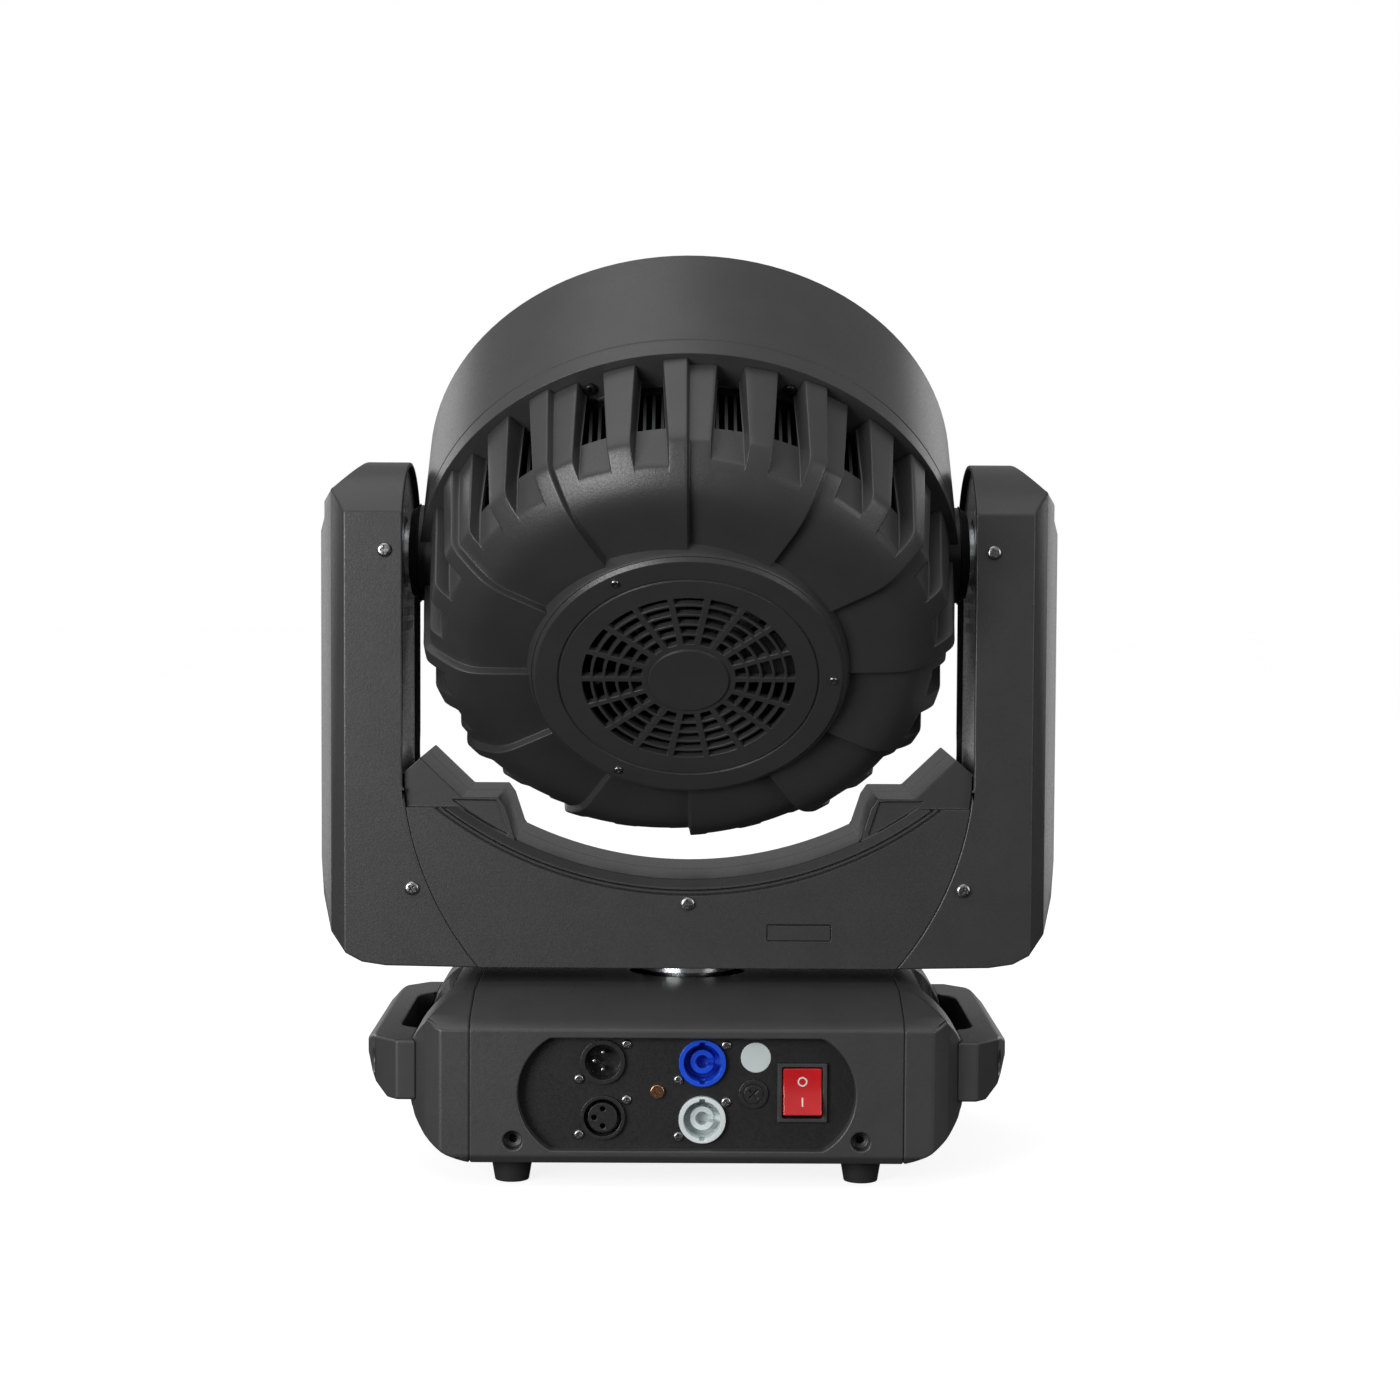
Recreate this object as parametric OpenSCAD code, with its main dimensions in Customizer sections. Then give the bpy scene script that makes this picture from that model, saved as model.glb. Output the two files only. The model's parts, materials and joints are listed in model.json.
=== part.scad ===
// Moving head wash light: a base on rubber feet, a yoke that pans on it and a lamp head
// that tilts in the yoke. +Z up, the connector panel faces -Y, +X is right as seen from
// behind. The origin is on the floor, under the pan axis.

/* [Base] */
// Half width of the straight middle of the base
base_half_w = 111; // [110:0.5:112]
// Half depth of the base
base_half_d = 115; // [115:0.5:116]
// Height of the feet, which is the gap under the base
foot_h = 13; // [12.5:0.5:13]
// Height of the top of the base
base_top = 97; // [96.5:0.5:97]
// Thickness of the moulded walls of the base
base_wall = 3; // [2.5:0.5:3]
// Half distance between the feet, left to right
foot_x = 90.5; // [86:0.5:92]
// Half distance between the feet, front to rear
foot_y = 90; // [86:1:90]
// Reach of the side handles from the pan axis
handle_reach = 168.5; // [167:0.5:172]
// Half distance between the clamp bracket holes, left to right
lock_x = 53; // [52:0.5:54]
// Half distance between the clamp bracket holes, front to rear
lock_y = 75; // [74:0.5:76]
// Radius of the clamp bracket holes
lock_r = 6.5; // [5:0.5:6.5]

/* [Rear and front panels] */
// Width of the panel recesses
recess_w = 172.6; // [172:0.2:173]
// Height of the panel recesses
recess_h = 57.7; // [57:0.1:58]
// Depth of the panel recesses
recess_depth = 9; // [8.5:0.5:9]
// Height of the middle of the panels
panel_z = 48.9; // [48.5:0.1:49.5]
// How far a menu button travels
button_travel = 1; // [0.6:0.1:1]
// How far the rocker leans from level at each end of its throw
rocker_lean = 8; // [6:0.5:8]

/* [Yoke] */
// Height of the tilt axis
tilt_z = 324; // [323:0.5:326]
// Inner face of the arms, from the pan axis
arm_in = 151; // [151:0.1:151.4]
// Outer face of the arms, from the pan axis
arm_out = 198.5; // [198:0.5:200]
// Half depth of the yoke
yoke_half_d = 53; // [53:0.5:54]
// Height of the underside of the yoke
yoke_bottom = 104.7; // [104.5:0.1:105]
// Thickness of the yoke covers
yoke_wall = 2.5; // [2:0.1:2.5]
// Radius of the hollow saddle that the head swings through
saddle_r = 211; // [210:0.5:212]

/* [Head] */
// Angle of the beam above the horizon in the stored pose
head_elevation = 39.3; // [30:0.1:60]
// Outer radius of the front hood
hood_r = 145.5; // [145:0.1:145.7]
// Length of the hood ahead of the tilt axis
hood_front = 72; // [70:0.5:72]
// Thickness of the hood
hood_wall = 2.6; // [2.2:0.1:2.8]
// Radius of the rear grille disc
grille_r = 82; // [80:0.5:83]
// Number of petals round the rear shell
petals = 12; // [12:1:12]
// Travel of the zoom carriage
zoom_travel = 22; // [10:1:22]
// Pitch of the heatsink fins
fin_pitch = 4.6; // [4.4:0.1:6]
// Distance between neighbouring lenses
lens_pitch = 52; // [51:0.5:52]

/* [Drives] */
// Teeth on the driven pulley of the pan drive
pan_teeth = 48; // [46:1:48]
// Teeth on the driven pulley of the tilt drive
tilt_teeth = 36; // [34:1:37]
// Teeth on both motor pulleys
motor_teeth = 10; // [10:1:11]
// Pitch of the belt teeth
belt_pitch = 5; // [5:1:5]

/* [Hidden] */

$fn = 96;
eps = 0.01;             // overlap that keeps cuts clean
running = 0.05;         // radial clearance of a shaft in its bearing
belt_gap = 0.4;         // gap between a belt and the teeth it runs over
far = 400;              // longer than the whole light

shell_grey = [0.17, 0.17, 0.18];
panel_black = [0.06, 0.06, 0.065];
steel = [0.6, 0.61, 0.63];
rubber_black = [0.08, 0.08, 0.08];
board_green = [0.05, 0.3, 0.15];

// ---- Shared shapes ----

// A flat outline in X and Z, from y0 to y1
module slab_y(y0, y1) translate([0, y1, 0]) rotate([90, 0, 0]) linear_extrude(y1 - y0) children();

// A flat outline in Y and Z, from x0 to x1
module slab_x(x0, x1) translate([x0, 0, 0]) rotate([90, 0, 90]) linear_extrude(x1 - x0) children();

// A flat outline in X and Y, from z0 to z1
module slab_z(z0, z1) translate([0, 0, z0]) linear_extrude(z1 - z0) children();

module rod_y(x, z, y0, y1, r) translate([x, y1, z]) rotate([90, 0, 0]) cylinder(h = y1 - y0, r = r);

module rod_x(y, z, x0, x1, r) translate([x0, y, z]) rotate([0, 90, 0]) cylinder(h = x1 - x0, r = r);

module rod_z(x, y, z0, z1, r) translate([x, y, z0]) cylinder(h = z1 - z0, r = r);

module block(low, high) translate(low) cube(high - low);

module ring(z0, z1, r_out, r_in) difference() {
    rod_z(0, 0, z0, z1, r_out);
    rod_z(0, 0, z0 - 1, z1 + 1, r_in);
}

module both_sides() {
    children();
    mirror([1, 0, 0]) children();
}

// ---- Belt drives ----

pulley_half_w = 5;      // half of a pulley's width, flanges included
flange_t = 1;           // thickness of a pulley's flange
tooth_h = 1.6;          // height of the pulley teeth
belt_t = 1.6;           // thickness of a belt
function pitch_r(teeth) = teeth * belt_pitch / (2 * PI);
function tooth_ring(teeth) = let (tip = pitch_r(teeth), root = tip - tooth_h, step = 360 / teeth)
    [for (i = [0 : teeth - 1]) for (corner = [[-0.28, root], [-0.2, tip], [0.2, tip], [0.28, root]])
        corner[1] * [cos((i + corner[0]) * step), sin((i + corner[0]) * step)]];

// A toothed pulley on the Z axis, centred on z = 0
module pulley(teeth, bore_r) difference() {
    union() {
        slab_z(-pulley_half_w + eps, pulley_half_w - eps) polygon(tooth_ring(teeth));
        for (low = [-pulley_half_w, pulley_half_w - flange_t])
            rod_z(0, 0, low, low + flange_t, pitch_r(teeth) + 2.6);
    }
    rod_z(0, 0, -far, far, bore_r);
}

// A belt between a driven pulley at the origin and a motor pulley at a distance along X
module belt(teeth, distance) slab_z(-pulley_half_w + flange_t + 0.4, pulley_half_w - flange_t - 0.4)
    difference() {
        belt_line(teeth, distance, belt_gap + belt_t);
        belt_line(teeth, distance, belt_gap);
    }
module belt_line(teeth, distance, grow) hull() {
    circle(pitch_r(teeth) + grow);
    translate([distance, 0]) circle(pitch_r(motor_teeth) + grow);
}

// A square stepping motor with its front face at z = 0 and its shaft hole along +Z
motor_half = 21;
motor_shaft_r = 2.5;
module stepper(length, shaft_depth) difference() {
    union() {
        intersection() {
            block([-motor_half, -motor_half, -length], [motor_half, motor_half, 0]);
            rotate(45) block([-26, -26, -length - 1], [26, 26, 1]);
        }
        rod_z(0, 0, -eps, 2, 11);
    }
    rod_z(0, 0, -shaft_depth, 3, motor_shaft_r + running);
}

// ---- Base ----

base_shoulder = base_top - 9;   // where the sloping edge of the top begins
base_low_edge = foot_h + 4;     // top of the small chamfer round the bottom
base_high_edge = 82;            // top of the upright rear and front faces
base_flat_half = 75;            // half depth of the level top

module base_profile(inset = 0) offset(delta = -inset) polygon([
    [-base_half_d + 3, foot_h], [-base_half_d, base_low_edge], [-base_half_d, base_high_edge],
    [-base_half_d + 7, base_shoulder], [-base_flat_half, base_top],
    [base_flat_half, base_top], [base_half_d - 7, base_shoulder],
    [base_half_d, base_high_edge], [base_half_d, base_low_edge], [base_half_d - 3, foot_h]
]);

recess_end_r = 33.3;            // radius of the round ends of a recess
recess_corner_r = 5;            // radius where the ends meet the long edges
recess_floor = base_half_d - recess_depth;      // outer face of the panels
panel_t = 2;                    // thickness of the panels
recess_lip = 2.5;               // wall round a recess

// Outline of a panel recess in X and Z
module recess_outline(grow = 0) translate([0, panel_z]) offset(delta = grow)
    offset(r = recess_corner_r) offset(delta = -recess_corner_r) intersection() {
        square([recess_w, recess_h], center = true);
        hull() for (side = [-1, 1])
            translate([side * (recess_w / 2 - recess_end_r), 0]) circle(recess_end_r);
    }

body_screw_x = 89;
body_screw_z = 25;
body_screw_recess_r = 4.8;
body_screw_seat = base_half_d - 7;      // face that the sunk body screws bear on
module at_body_screws() for (sx = [-1, 1], sy = [-1, 1])
    translate([sx * body_screw_x, 0, body_screw_z]) rotate(sy > 0 ? 180 : 0) children();

pan_hole_r = 32;
module base_cover() color(shell_grey) difference() {
    union() {
        difference() {
            slab_x(-base_half_w, base_half_w) base_profile();
            slab_x(-base_half_w - 1, base_half_w + 1) base_profile(base_wall);
        }
        for (turn = [0, 180]) rotate(turn)
            slab_y(-base_half_d + 1, -recess_floor) recess_outline(recess_lip);
        at_body_screws() rod_y(0, 0, -base_half_d + 1, -body_screw_seat + 2, body_screw_recess_r + 2);
    }
    block([-far, -plate_half_d, 0], [far, plate_half_d, foot_h + base_wall + eps]);
    for (turn = [0, 180]) rotate(turn) slab_y(-base_half_d - 1, -recess_floor + 1) recess_outline();
    rod_z(0, 0, base_top - 10, base_top + 1, pan_hole_r);
    at_body_screws() {
        rod_y(0, 0, -base_half_d - 1, -body_screw_seat, body_screw_recess_r);
        rod_y(0, 0, -base_half_d, 0, 2);
    }
}

plate_half_d = 105;             // half depth of the steel floor plate
plate_t = 2.5;
plate_top = foot_h + plate_t;
eye_r = 4;                      // radius of the safety cable hole
eye_z = 6.8;
module base_plate() color(steel) difference() {
    union() {
        block([-base_half_w, -plate_half_d, foot_h], [base_half_w, plate_half_d, plate_top]);
        slab_y(-1.5, 1.5) hull() {
            translate([0, eye_z]) circle(eye_r + 2.6, $fn = 48);
            translate([-14, foot_h]) square([28, 1]);
        }
    }
    rod_y(0, eye_z, -2, 2, eye_r);
    for (sx = [-1, 1], sy = [-1, 1]) rod_z(sx * lock_x, sy * lock_y, foot_h - 1, plate_top + 1, lock_r);
}

// The end caps bulge past the straight middle and are scooped out behind the handles
cap_centre = [102.2, 55.6];     // centre of the bulge's outline in X and Z
cap_r = 43.7;
scoop_half = 56;                // half length of the scoop for the fingers
scoop_floor_x = 126;
cap_plan = [
    [base_half_w, -base_half_d], [126, -base_half_d], [134, -109], [140.5, -98], [146, -78],
    [146, 78], [140.5, 98], [134, 109], [126, base_half_d], [base_half_w, base_half_d]
];
module cap_solid(inset = 0) intersection() {
    slab_x(base_half_w, far) base_profile(inset);
    slab_y(-far, far) translate(cap_centre) circle(cap_r - inset);
    slab_z(0, far) offset(delta = -inset) polygon(cap_plan);
}
module finger_scoop() slab_z(0, far) hull() for (sy = [-1, 1])
    translate([scoop_floor_x + 14, sy * (scoop_half - 14)]) circle(14);

module end_cap() color(shell_grey) difference() {
    cap_solid();
    finger_scoop();
    intersection() {
        slab_x(base_half_w - 1, scoop_floor_x - base_wall) base_profile(base_wall);
        slab_y(-far, far) translate(cap_centre) circle(cap_r - base_wall);
        slab_z(0, far) offset(delta = -base_wall) polygon(
            concat([[0, -base_half_d]], cap_plan, [[0, base_half_d]]));
    }
    handle_screw_holes();
}
module end_cap_right() end_cap();
module end_cap_left() mirror([1, 0, 0]) end_cap();

handle_low = 43;
handle_high = 74;
handle_half_l = 100;
grip_half = 62;                 // half length of the finger opening
grip_in_x = 152;                // inner face of the bar
handle_screw_y = 80;
handle_screw_z = 60.2;
handle_screw_seat = 152;
module handle_screw_holes() for (sy = [-1, 1])
    rod_x(sy * handle_screw_y, handle_screw_z, 130, handle_screw_seat + 1, 2);
module side_handle() color(shell_grey) difference() {
    intersection() {
        slab_z(handle_low, handle_high) difference() {
            polygon([
                [120, -handle_half_l], [150, -handle_half_l], [162, -86], [handle_reach, -58],
                [handle_reach, 58], [162, 86], [150, handle_half_l], [120, handle_half_l]
            ]);
            hull() for (sy = [-1, 1]) {
                translate([grip_in_x - 18, sy * (grip_half - 18)]) circle(18, $fn = 48);
                translate([105, sy * (grip_half - 18)]) circle(18, $fn = 48);
            }
        }
        slab_y(-far, far) polygon([
            [100, handle_low], [155, handle_low], [165, 53], [handle_reach, 60],
            [handle_reach, 69], [163, handle_high], [100, handle_high]
        ]);
    }
    cap_solid();
    for (sy = [-1, 1]) rod_x(sy * handle_screw_y, handle_screw_z, handle_screw_seat, far, 5.6);
    handle_screw_holes();
}
module handle_right() side_handle();
module handle_left() rotate([0, 0, 180]) side_handle();

foot_top_r = 11;
foot_bottom_r = 8.75;
module rubber_feet() color(rubber_black) for (sx = [-1, 1], sy = [-1, 1])
    translate([sx * foot_x, sy * foot_y, 0]) cylinder(h = foot_h, r1 = foot_bottom_r, r2 = foot_top_r);

// Screws with their head on the seat at y and their shank running in along +Y
module screw_y(x, seat, z, head_r, head_h, shank_r, shank) {
    rod_y(x, z, seat - head_h, seat, head_r);
    rod_y(x, z, seat - head_h / 2, seat + shank, shank_r);
}
module base_screws() color(steel) {
    at_body_screws() screw_y(0, -body_screw_seat, 0, 4, 2.4, 2, 8);
    for (c = socket_centres, s = [-1, 1])
        screw_y(c[0] + s * socket_screw[0], -recess_floor, c[1] + s * socket_screw[1], 2.6, 1.4, 1.4, 4);
    both_sides() for (sy = [-1, 1]) {
        rod_x(sy * handle_screw_y, handle_screw_z, handle_screw_seat, handle_screw_seat + 2.4, 4.2);
        rod_x(sy * handle_screw_y, handle_screw_z, 133, handle_screw_seat + 1, 2);
    }
}

// ---- Rear panel ----

data_in = [-43.1, 64.4];        // centres of the sockets in X and Z
data_out = [-43.1, 35.7];
power_in = [8, 64.1];
power_out = [8, 34.8];
socket_centres = [data_in, data_out, power_in, power_out];
socket_screw = [12.2, 9];       // a socket's screws lie this far either side of its centre
socket_back = 86;               // how far back from the origin the sockets reach
data_r = 11.5;
power_r = 12.1;
fuse_at = [34.2, 48.1];
fuse_body_r = 6.5;
switch_at = [59.3, 49];
switch_body = [24.8, 29.6];
earth_at = [-15.1, 49.1];
earth_r = 3.6;

module connector_panel() color(panel_black) difference() {
    slab_y(-recess_floor, -recess_floor + panel_t) recess_outline(recess_lip);
    for (c = [data_in, data_out]) rod_y(c[0], c[1], -far, 0, data_r);
    for (c = [power_in, power_out]) rod_y(c[0], c[1], -far, 0, power_r);
    for (c = socket_centres, s = [-1, 1])
        rod_y(c[0] + s * socket_screw[0], c[1] + s * socket_screw[1], -far, 0, 1.4);
    rod_y(fuse_at[0], fuse_at[1], -far, 0, fuse_body_r);
    rod_y(earth_at[0], earth_at[1], -far, 0, 2);
    slab_y(-far, 0) translate(switch_at) square(switch_body, center = true);
}

// Body of a panel socket on the Y axis, with its flange behind the panel
module socket_body(r, proud) {
    rod_y(0, 0, -recess_floor - proud, -socket_back, r);
    difference() {
        slab_y(-recess_floor + panel_t, -recess_floor + panel_t + 2) square([31, 26], center = true);
        for (s = [-1, 1]) rod_y(s * socket_screw[0], s * socket_screw[1], -far, 0, 1.4);
    }
}
pin_circle = 4.4;
function pin_at(i) = pin_circle * [cos(90 + i * 90), sin(90 + i * 90)];
data_mouth = recess_floor + 2.5;
module data_inlet() color(panel_black) translate([data_in[0], 0, data_in[1]]) {
    difference() {
        socket_body(data_r, 2.5);
        rod_y(0, 0, -data_mouth - 1, -socket_back - 10, 9.1);
    }
    for (i = [0 : 2]) rod_y(pin_at(i)[0], pin_at(i)[1], -recess_floor + 1.5, -socket_back - 10 + eps, 1.2);
}
module data_outlet() color(panel_black) translate([data_out[0], 0, data_out[1]]) difference() {
    socket_body(data_r, 2.5);
    difference() {
        rod_y(0, 0, -data_mouth - 1, -data_mouth + 9, 9.6);
        rod_y(0, 0, -data_mouth + 0.8, -data_mouth + 10, 7.6);
    }
    for (i = [0 : 2]) rod_y(pin_at(i)[0], pin_at(i)[1], -data_mouth, -data_mouth + 12, 1.4);
}

power_cavity_r = 9.6;
power_post_r = 6.2;
power_mouth = recess_floor + 3;
module power_socket() difference() {
    socket_body(power_r, 3);
    difference() {
        rod_y(0, 0, -power_mouth - 1, -power_mouth + 14, power_cavity_r);
        rod_y(0, 0, -power_mouth + 5, -power_mouth + 15, power_post_r);
    }
    rod_y(0, 0, -power_mouth, -power_mouth + 13, 3.4);
    block([0, -power_mouth, -1.8], [power_post_r + 1, -power_mouth + 13, 1.8]);
    for (turn = [90, 270]) rotate([0, turn, 0])
        block([power_cavity_r - 1, -power_mouth - 1, -1.4], [power_cavity_r + 1.2, -power_mouth + 10, 1.4]);
}
module power_inlet() color([0.05, 0.22, 0.85])
    translate([power_in[0], 0, power_in[1]]) power_socket();
module power_outlet() color([0.78, 0.82, 0.84])
    translate([power_out[0], 0, power_out[1]]) power_socket();

fuse_rim_r = 7.6;
fuse_cap_r = 5;
module fuse_holder() color(panel_black) translate([fuse_at[0], 0, fuse_at[1]]) difference() {
    union() {
        rod_y(0, 0, -recess_floor - 1.6, -recess_floor, fuse_rim_r);
        rod_y(0, 0, -recess_floor - eps, -socket_back + 2, fuse_body_r);
    }
    rod_y(0, 0, -far, -socket_back - 1, fuse_cap_r + running);
}
module fuse_cap() color(panel_black) translate([fuse_at[0], 0, fuse_at[1]]) {
    difference() {
        rod_y(0, 0, -recess_floor - 2.2, -recess_floor + 3, fuse_cap_r);
        for (turn = [45, 135]) rotate([0, turn, 0])
            block([-3.2, -recess_floor - 3, -0.5], [3.2, -recess_floor - 1.2, 0.5]);
    }
    rod_y(0, 0, -recess_floor + 3 - eps, -socket_back - 2, 2.6);
}

bezel = [25.6, 30.5];
rocker_half = [9.9, 12];
rocker_axis_y = -recess_floor + 2;
rocker_pin_r = 1.5;
module switch_frame() color([0.2, 0.2, 0.21]) translate([switch_at[0], 0, switch_at[1]]) difference() {
    union() {
        slab_y(-recess_floor - 2.4, -recess_floor) square(bezel, center = true);
        slab_y(-recess_floor - eps, -socket_back) square(switch_body, center = true);
    }
    slab_y(-far, -recess_floor + 8.5) square([20.6, 26.4], center = true);
    rod_x(rocker_axis_y, 0, -11.6, 11.6, rocker_pin_r + running);
}
module switch_rocker() color([0.8, 0.05, 0.06])
    translate([switch_at[0], rocker_axis_y, switch_at[1]]) rotate([-rocker_lean, 0, 0]) {
        slab_x(-rocker_half[0], rocker_half[0]) polygon([
            [-7.2, -rocker_half[1]], [-5.2, 0], [-7.2, rocker_half[1]], [-1.5, rocker_half[1]],
            [3.5, 3], [3.5, -3], [-1.5, -rocker_half[1]]
        ]);
        rod_x(0, 0, -11.4, 11.4, rocker_pin_r);
    }

module earth_screw() color([0.8, 0.5, 0.25])
    screw_y(earth_at[0], -recess_floor, earth_at[1], earth_r, 2, 2, 8);

// ---- Front panel with the display and the menu buttons ----

window_low = [-60, 34];         // corners of the display window in X and Z
window_high = [8, 64];
window_size = window_high - window_low;
button_xs = [22, 36, 50, 64];
button_r = 5;
module display_panel() color(panel_black) difference() {
    slab_y(recess_floor - panel_t, recess_floor) recess_outline(recess_lip);
    slab_y(0, far) translate(window_low) square(window_size);
    for (x = button_xs) rod_y(x, panel_z, 0, far, button_r + 0.3);
}
module display_window() color([0.1, 0.14, 0.2, 0.6])
    slab_y(recess_floor - panel_t, recess_floor + 0.6) translate(window_low) square(window_size);
module menu_button(x) color([0.25, 0.25, 0.26]) {
    rod_y(x, panel_z, recess_floor - 6, recess_floor + 2.2, button_r);
    rod_y(x, panel_z, recess_floor - 6, recess_floor - 3, button_r + 1.5);
}
module button_menu() menu_button(button_xs[0]);
module button_down() menu_button(button_xs[1]);
module button_up() menu_button(button_xs[2]);
module button_enter() menu_button(button_xs[3]);

board_t = 1.6;
display_board_y = 96;
driver_board_z = 19;
module circuit_boards() color(board_green) {
    slab_y(display_board_y, display_board_y + board_t) translate([-82, 26]) square([164, 48]);
    slab_y(display_board_y + board_t - eps, recess_floor - panel_t - 0.6)
        translate(window_low + [2, 2]) square(window_size - [4, 4]);
    block([-104, -43, driver_board_z], [-46, 43, driver_board_z + board_t]);
    for (y = [-34, -12, 10, 30]) block([-92, y - 6, driver_board_z], [-62, y + 6, driver_board_z + 11]);
    for (x = [-100, -50], y = [-38, 38]) rod_z(x, y, plate_top, driver_board_z + eps, 2);
    for (x = [-70, 0, 70]) block([x - 4, display_board_y - 6, plate_top], [x + 4, display_board_y + eps, 34]);
}

module power_supply() color([0.72, 0.73, 0.74]) difference() {
    block([-40, -42, plate_top], [100, 42, plate_top + 33]);
    for (x = [-28 : 8 : 88]) block([x - 1.5, -43, plate_top + 8], [x + 1.5, -40, plate_top + 26]);
}

// ---- Pan drive ----

chassis_low = 76;               // underside of the raised pan chassis plate
chassis_t = 3;
bearing_r = 26;
hub_r = 20;
hub_bore_r = 15;
hub_flange_r = 27;
pan_motor_x = -75;
pan_pulley_z = 87;
frame_low = yoke_bottom + yoke_wall + 1.1;      // underside of the yoke frame
module pan_chassis() color(steel) difference() {
    union() {
        block([-102, -55, chassis_low], [60, 55, chassis_low + chassis_t]);
        rod_z(0, 0, 58, chassis_low + eps, bearing_r + 5);
        for (x = [-97, 55], y = [-50, 50]) rod_z(x, y, plate_top, chassis_low + eps, 5);
    }
    rod_z(0, 0, 50, 100, bearing_r);
    rod_z(pan_motor_x, 0, 70, 100, 11);
}
module pan_bearing() color([0.75, 0.76, 0.78]) difference() {
    ring(60, chassis_low, bearing_r, hub_r + running);
    ring(59, 61, 24.5, 21.8);
    ring(chassis_low - 1, chassis_low + 1, 24.5, 21.8);
}
module pan_motor() color([0.2, 0.2, 0.2]) translate([pan_motor_x, 0, chassis_low]) stepper(40, 12);
module pan_motor_pulley() color(steel) translate([pan_motor_x, 0, 0]) {
    translate([0, 0, pan_pulley_z]) pulley(motor_teeth, motor_shaft_r - 1);
    rod_z(0, 0, chassis_low - 11, pan_pulley_z + pulley_half_w, motor_shaft_r);
}
module pan_belt() color(rubber_black)
    translate([0, 0, pan_pulley_z]) belt(pan_teeth, pan_motor_x);
module pan_hub() color([0.75, 0.76, 0.78]) difference() {
    union() {
        rod_z(0, 0, 57, frame_low - eps, hub_r);
        rod_z(0, 0, base_top + 1, frame_low, hub_flange_r);
        translate([0, 0, pan_pulley_z]) pulley(pan_teeth, 1);
    }
    rod_z(0, 0, 0, far, hub_bore_r);
}

// ---- Yoke ----

frame_x = 156;                  // inner face of the frame's upright arms
frame_t = 3;
frame_half_d = 40;
frame_top = 350;
bearing_outer_r = 16.5;
shaft_r = 12;
module yoke_frame() color(steel) difference() {
    slab_y(-frame_half_d, frame_half_d) union() {
        difference() {
            translate([-frame_x - frame_t, frame_low])
                square([2 * (frame_x + frame_t), frame_top - frame_low]);
            translate([-frame_x, frame_low + frame_t]) square([2 * frame_x, far]);
        }
    }
    rod_z(0, 0, frame_low - 1, frame_low + frame_t + 1, hub_bore_r);
    rod_x(0, tilt_z, -far, far, bearing_outer_r);
    for (z = [150, 190]) rod_x(0, z, -far, far, 12);
}

arm_plan = [
    [100, -yoke_half_d], [182, -yoke_half_d], [190, -42], [arm_out, -15],
    [arm_out, 15], [190, 42], [182, yoke_half_d], [100, yoke_half_d]
];
arm_front = [
    [108, yoke_bottom], [160, 105.6], [172.6, 107.5], [181, 112], [190, 122], [196.5, 140],
    [arm_out, 159], [arm_out, tilt_z + 11.6], [arm_out - 3, tilt_z + 19],
    [arm_out - 3, tilt_z + 28], [175, tilt_z + 49], [arm_in, tilt_z + 49], [arm_in, 200], [108, 200]
];
arch_z = tilt_z - 16.5;         // centre of the arch over an arm, seen from the side
arch_r = 65.5;

// Side outline of an arm in Y and Z
module arm_side(inset = 0) {
    intersection() {
        translate([-yoke_half_d + inset, yoke_bottom - 1])
            square([2 * (yoke_half_d - inset), tilt_z + 60 - yoke_bottom]);
        union() {
            translate([0, arch_z]) circle(arch_r - inset);
            translate([-far, 0]) square([2 * far, arch_z + inset]);
        }
        translate([-far, yoke_bottom + inset]) square([2 * far, far]);
    }
}
module arm_solid(inset, open_by) intersection() {
    slab_x(0, far) arm_side(inset);
    slab_y(-far, far) offset(delta = -inset) polygon(
        [for (p = arm_front) [p[0] <= arm_in ? p[0] - open_by : p[0], p[1]]]);
    slab_z(0, far) offset(delta = -inset) polygon(
        [for (p = arm_plan) [p[0] == 100 ? p[0] - open_by : p[0], p[1]]]);
}

// The joint between an arm cover and the saddle covers is an arc on both broad faces
seam_centre = [-19.5, 215];
seam_r = 170.7;
module arm_cover() color(shell_grey) difference() {
    arm_solid(0, 0);
    arm_solid(yoke_wall, 10);
    slab_y(-far, far) translate(seam_centre) circle(seam_r, $fn = 192);
    for (c = arm_screws, sy = [-1, 1]) rod_y(c[0], c[1], sy * yoke_half_d - 4, sy * yoke_half_d + 4, 2);
}
module arm_cover_right() arm_cover();
module arm_cover_left() mirror([1, 0, 0]) arm_cover();

// The saddle is hollowed for the head, and an ear set back from each broad face rises at either end
head_space_z = 363;             // centre of the saddle's hollow
saddle_top = 190;
ear_outline = [
    [160, 165], [160, 208], [arm_in, 208], [142, 216], [120, 195], [100.5, 195], [97, 190],
    [91.2, 172], [100, 165]
];
ear_set_back = 4;
bevel = 4.5;                    // width of the edge along the saddle that slopes at 45 degrees
bevel_run_out = 3;              // how far the cone that cuts it runs on into the hollow
module saddle_body() difference() {
    translate([-160, yoke_bottom]) square([320, saddle_top - yoke_bottom]);
    translate([0, head_space_z]) circle(saddle_r, $fn = 192);
}
module ears() {
    polygon(ear_outline);
    mirror([1, 0]) polygon(ear_outline);
}
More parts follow.
